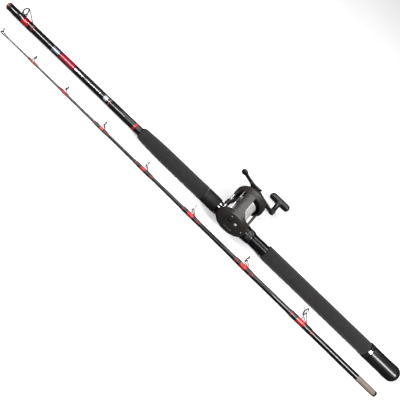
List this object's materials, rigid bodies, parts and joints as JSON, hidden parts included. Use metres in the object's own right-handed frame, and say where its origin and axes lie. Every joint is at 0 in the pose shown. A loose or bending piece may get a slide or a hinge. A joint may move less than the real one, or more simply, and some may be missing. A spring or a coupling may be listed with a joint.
{
  "type": "fishing rod and reel",
  "caption": "Two-piece boat fishing rod, taken down, with foam grips, ringed guides and a level-wind multiplier reel with crank and star drag.",
  "frame": {"origin": "on the axis of the butt section, below the axis of the reel's spool", "axes": "+X along the butt section towards its butt, +Y towards the handle side of the reel, +Z from the rod up through the reel"},
  "size_m": [1.03, 0.1691, 0.0949],
  "materials": {
    "blank": "clear-coated wound glass fibre",
    "foam_grip": "matte EVA foam",
    "graphite": "moulded, semi-gloss",
    "butt_rubber": "smooth moulded",
    "chrome": "plated",
    "ring_ceramic": "polished",
    "thread_wrap": "thread under clear epoxy",
    "ground_blank": "ground",
    "aluminium": "satin anodised",
    "side_plate": "satin charcoal",
    "steel": "turned",
    "brass": "cut",
    "fibre_washer": "woven"
  },
  "bodies": {
    "rod": {"bearing_left": "steel", "bearing_right": "steel", "butt_blank": "blank", "butt_guide_frame": "chrome", "butt_guide_ring": "ring_ceramic", "butt_guide_wrap": "thread_wrap", "ferrule": "blank", "foregrip": "foam_grip", "gimbal_fitting": "aluminium", "guide_bar": "chrome", "left_cover": "side_plate", "rear_grip": "foam_grip", "reel_foot": "chrome", "reel_frame": "side_plate", "reel_seat": "graphite", "right_cover": "side_plate", "thumb_rest": "side_plate"},
    "tip_section": {"tip_blank": "blank", "spigot": "ground_blank", "tip_top": "chrome", "guide_1_frame": "chrome", "guide_1_ring": "ring_ceramic", "guide_1_wrap": "thread_wrap", "guide_2_frame": "chrome", "guide_2_ring": "ring_ceramic", "guide_2_wrap": "thread_wrap", "guide_3_frame": "chrome", "guide_3_ring": "ring_ceramic", "guide_3_wrap": "thread_wrap", "guide_4_frame": "chrome", "guide_4_ring": "ring_ceramic", "guide_4_wrap": "thread_wrap", "guide_5_frame": "chrome", "guide_5_ring": "ring_ceramic", "guide_5_wrap": "thread_wrap", "guide_6_frame": "chrome", "guide_6_ring": "ring_ceramic", "guide_6_wrap": "thread_wrap", "guide_7_frame": "chrome", "guide_7_ring": "ring_ceramic", "guide_7_wrap": "thread_wrap"},
    "hood": {"sliding_hood": "graphite"},
    "nut": {"lock_nut": "graphite"},
    "cap": {"butt_cap": "butt_rubber"},
    "spool": {"spool": "aluminium", "spool_shaft": "steel"},
    "pinion": {"pinion": "brass"},
    "yoke": {"clutch_yoke": "steel"},
    "crank": {"main_gear": "brass", "drag_washer": "fibre_washer", "drive_shaft": "steel", "handle_arm": "graphite", "handle_nut": "chrome"},
    "star": {"star_drag": "graphite"},
    "knob": {"knob": "graphite"},
    "lever": {"clutch_lever": "graphite"},
    "carriage": {"line_guide": "graphite"},
    "worm": {"worm_shaft": "steel"},
    "button": {"click_button": "steel"},
    "tension": {"tension_cap": "graphite"}
  },
  "joints": [
    {"name": "crank_turn", "type": "hinge", "parent": "rod", "child": "crank", "pos_m": [-0.003, 0.0675, 0.03079], "axis": [0, 1, 0], "continuous": true},
    {"name": "spool_turn", "type": "hinge", "parent": "rod", "child": "spool", "pos_m": [0, -0.0031, 0.046], "axis": [0, 1, 0], "continuous": true},
    {"name": "worm_turn", "type": "hinge", "parent": "rod", "child": "worm", "pos_m": [-0.02807, -0.0031, 0.04003], "axis": [0, 1, 0], "continuous": true},
    {"name": "line_guide_slide", "type": "slide", "parent": "rod", "child": "carriage", "axis": [0, 1, 0], "range_m": [-0.015, 0.015]},
    {"name": "clutch_lever_turn", "type": "hinge", "parent": "rod", "child": "lever", "pos_m": [-0.013, 0.0403, 0.061], "axis": [0, 1, 0], "range_deg": [0, 40]},
    {"name": "clutch_yoke_slide", "type": "slide", "parent": "rod", "child": "yoke", "axis": [0, 1, 0], "range_m": [0, 0.0015]},
    {"name": "pinion_turn", "type": "hinge", "parent": "yoke", "child": "pinion", "pos_m": [0, 0.0282, 0.046], "axis": [0, 1, 0], "continuous": true},
    {"name": "star_drag_turn", "type": "hinge", "parent": "crank", "child": "star", "pos_m": [-0.003, 0.0453, 0.03079], "axis": [0, 1, 0], "range_deg": [0, 330]},
    {"name": "knob_turn", "type": "hinge", "parent": "crank", "child": "knob", "pos_m": [0.05115, 0.071, 0.01001], "axis": [0, 1, 0], "continuous": true},
    {"name": "tension_cap_turn", "type": "hinge", "parent": "rod", "child": "tension", "pos_m": [0, 0.0403, 0.046], "axis": [0, 1, 0], "range_deg": [0, 540]},
    {"name": "click_button_slide", "type": "slide", "parent": "rod", "child": "button", "axis": [0, 1, 0], "range_m": [0, 0.0012], "stiffness_N_per_m": 150},
    {"name": "hood_slide", "type": "slide", "parent": "rod", "child": "hood", "axis": [1, 0, 0], "range_m": [0, 0.02]},
    {"name": "lock_nut_turn", "type": "hinge", "parent": "hood", "child": "nut", "pos_m": [0.0395, 0, 0], "axis": [1, 0, 0], "range_deg": [0, 3600]},
    {"name": "butt_cap_slide", "type": "slide", "parent": "rod", "child": "cap", "axis": [1, 0, 0], "range_m": [0, 0.06]},
    {"name": "tip_section_lift", "type": "slide", "parent": "rod", "child": "tip_section", "axis": [0, 0, 1], "range_m": [0, 0.08]}
  ],
  "couplings": [
    {"joint": "spool_turn", "follows": "crank_turn", "ratio": -4},
    {"joint": "pinion_turn", "follows": "crank_turn", "ratio": -4},
    {"joint": "worm_turn", "follows": "crank_turn", "ratio": 1},
    {"joint": "clutch_lever_turn", "follows": "clutch_yoke_slide", "rad_per_m": 465.42},
    {"joint": "lock_nut_turn", "follows": "hood_slide", "rad_per_m": 3141.6}
  ]
}
